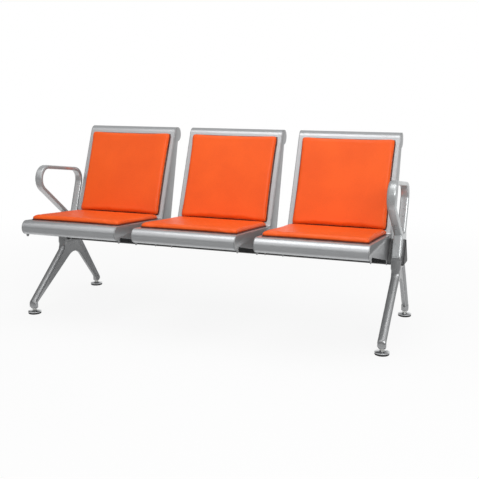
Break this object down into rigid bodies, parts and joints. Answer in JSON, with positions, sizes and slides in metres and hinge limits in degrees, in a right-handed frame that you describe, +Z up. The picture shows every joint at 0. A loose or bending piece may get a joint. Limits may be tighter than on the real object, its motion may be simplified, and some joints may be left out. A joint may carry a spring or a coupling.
{
  "type": "beam seating bench",
  "caption": "Waiting-room beam seating: bent sheet seats with upholstered pads on a triangular beam, between end legs with loop armrests and levelling feet.",
  "frame": {"origin": "centre of the bounding box's underside, on the floor under the middle seat", "axes": "+X along the row of seats, to the right as seen from in front, +Y from the front of the seats to the back, +Z up"},
  "size_m": [1.603, 0.678, 0.7998],
  "materials": {
    "sheet_paint": "satin silver powder coat",
    "plate_paint": "satin silver-grey powder coat",
    "cast_paint": "satin silver-grey coat on castings",
    "beam_paint": "satin black powder coat",
    "clamp_paint": "satin black powder coat",
    "cap_plastic": "matt black moulding",
    "cover": "orange artificial leather, fine grain",
    "board": "raw plywood",
    "zinc": "zinc-plated",
    "chrome": "bright chrome",
    "rubber": "black rubber"
  },
  "bodies": {
    "bench": {"beam": "beam_paint", "beam_end_cap_left": "cap_plastic", "leg_left": "cast_paint", "armrest_left": "cast_paint", "armrest_bolts_left": "zinc", "beam_end_cap_right": "cap_plastic", "leg_right": "cast_paint", "armrest_right": "cast_paint", "armrest_bolts_right": "zinc", "seat_1_sheet": "sheet_paint", "seat_1_side_plate_left": "plate_paint", "seat_1_clamp_left": "clamp_paint", "seat_1_side_plate_right": "plate_paint", "seat_1_clamp_right": "clamp_paint", "seat_1_clamp_bolts": "zinc", "seat_1_seat_cushion": "cover", "seat_1_back_cushion": "cover", "seat_1_seat_board": "board", "seat_1_back_board": "board", "seat_1_cushion_screws": "zinc", "seat_2_sheet": "sheet_paint", "seat_2_side_plate_left": "plate_paint", "seat_2_clamp_left": "clamp_paint", "seat_2_side_plate_right": "plate_paint", "seat_2_clamp_right": "clamp_paint", "seat_2_clamp_bolts": "zinc", "seat_2_seat_cushion": "cover", "seat_2_back_cushion": "cover", "seat_2_seat_board": "board", "seat_2_back_board": "board", "seat_2_cushion_screws": "zinc", "seat_3_sheet": "sheet_paint", "seat_3_side_plate_left": "plate_paint", "seat_3_clamp_left": "clamp_paint", "seat_3_side_plate_right": "plate_paint", "seat_3_clamp_right": "clamp_paint", "seat_3_clamp_bolts": "zinc", "seat_3_seat_cushion": "cover", "seat_3_back_cushion": "cover", "seat_3_seat_board": "board", "seat_3_back_board": "board", "seat_3_cushion_screws": "zinc", "foot_front_left_lock_nut": "zinc", "foot_rear_left_lock_nut": "zinc", "foot_front_right_lock_nut": "zinc", "foot_rear_right_lock_nut": "zinc"},
    "foot_front_left_pad": {"foot_front_left_rubber": "rubber", "foot_front_left_cup": "chrome"},
    "foot_front_left_stud": {"foot_front_left_stud": "zinc"},
    "foot_rear_left_pad": {"foot_rear_left_rubber": "rubber", "foot_rear_left_cup": "chrome"},
    "foot_rear_left_stud": {"foot_rear_left_stud": "zinc"},
    "foot_front_right_pad": {"foot_front_right_rubber": "rubber", "foot_front_right_cup": "chrome"},
    "foot_front_right_stud": {"foot_front_right_stud": "zinc"},
    "foot_rear_right_pad": {"foot_rear_right_rubber": "rubber", "foot_rear_right_cup": "chrome"},
    "foot_rear_right_stud": {"foot_rear_right_stud": "zinc"}
  },
  "joints": [
    {"name": "foot_front_left_height", "type": "slide", "parent": "bench", "child": "foot_front_left_pad", "axis": [0, 0, -1], "range_m": [0, 0.009]},
    {"name": "foot_front_left_stud_turn", "type": "hinge", "parent": "foot_front_left_pad", "child": "foot_front_left_stud", "pos_m": [-0.7725, -0.223, 0.02], "axis": [0, 0, -1], "range_deg": [0, 2160]},
    {"name": "foot_rear_left_height", "type": "slide", "parent": "bench", "child": "foot_rear_left_pad", "axis": [0, 0, -1], "range_m": [0, 0.009]},
    {"name": "foot_rear_left_stud_turn", "type": "hinge", "parent": "foot_rear_left_pad", "child": "foot_rear_left_stud", "pos_m": [-0.7725, 0.311, 0.02], "axis": [0, 0, -1], "range_deg": [0, 2160]},
    {"name": "foot_front_right_height", "type": "slide", "parent": "bench", "child": "foot_front_right_pad", "axis": [0, 0, -1], "range_m": [0, 0.009]},
    {"name": "foot_front_right_stud_turn", "type": "hinge", "parent": "foot_front_right_pad", "child": "foot_front_right_stud", "pos_m": [0.7725, -0.223, 0.02], "axis": [0, 0, -1], "range_deg": [0, 2160]},
    {"name": "foot_rear_right_height", "type": "slide", "parent": "bench", "child": "foot_rear_right_pad", "axis": [0, 0, -1], "range_m": [0, 0.009]},
    {"name": "foot_rear_right_stud_turn", "type": "hinge", "parent": "foot_rear_right_pad", "child": "foot_rear_right_stud", "pos_m": [0.7725, 0.311, 0.02], "axis": [0, 0, -1], "range_deg": [0, 2160]}
  ],
  "couplings": [
    {"joint": "foot_front_left_stud_turn", "follows": "foot_front_left_height", "rad_per_m": 4188.8},
    {"joint": "foot_rear_left_stud_turn", "follows": "foot_rear_left_height", "rad_per_m": 4188.8},
    {"joint": "foot_front_right_stud_turn", "follows": "foot_front_right_height", "rad_per_m": 4188.8},
    {"joint": "foot_rear_right_stud_turn", "follows": "foot_rear_right_height", "rad_per_m": 4188.8}
  ]
}
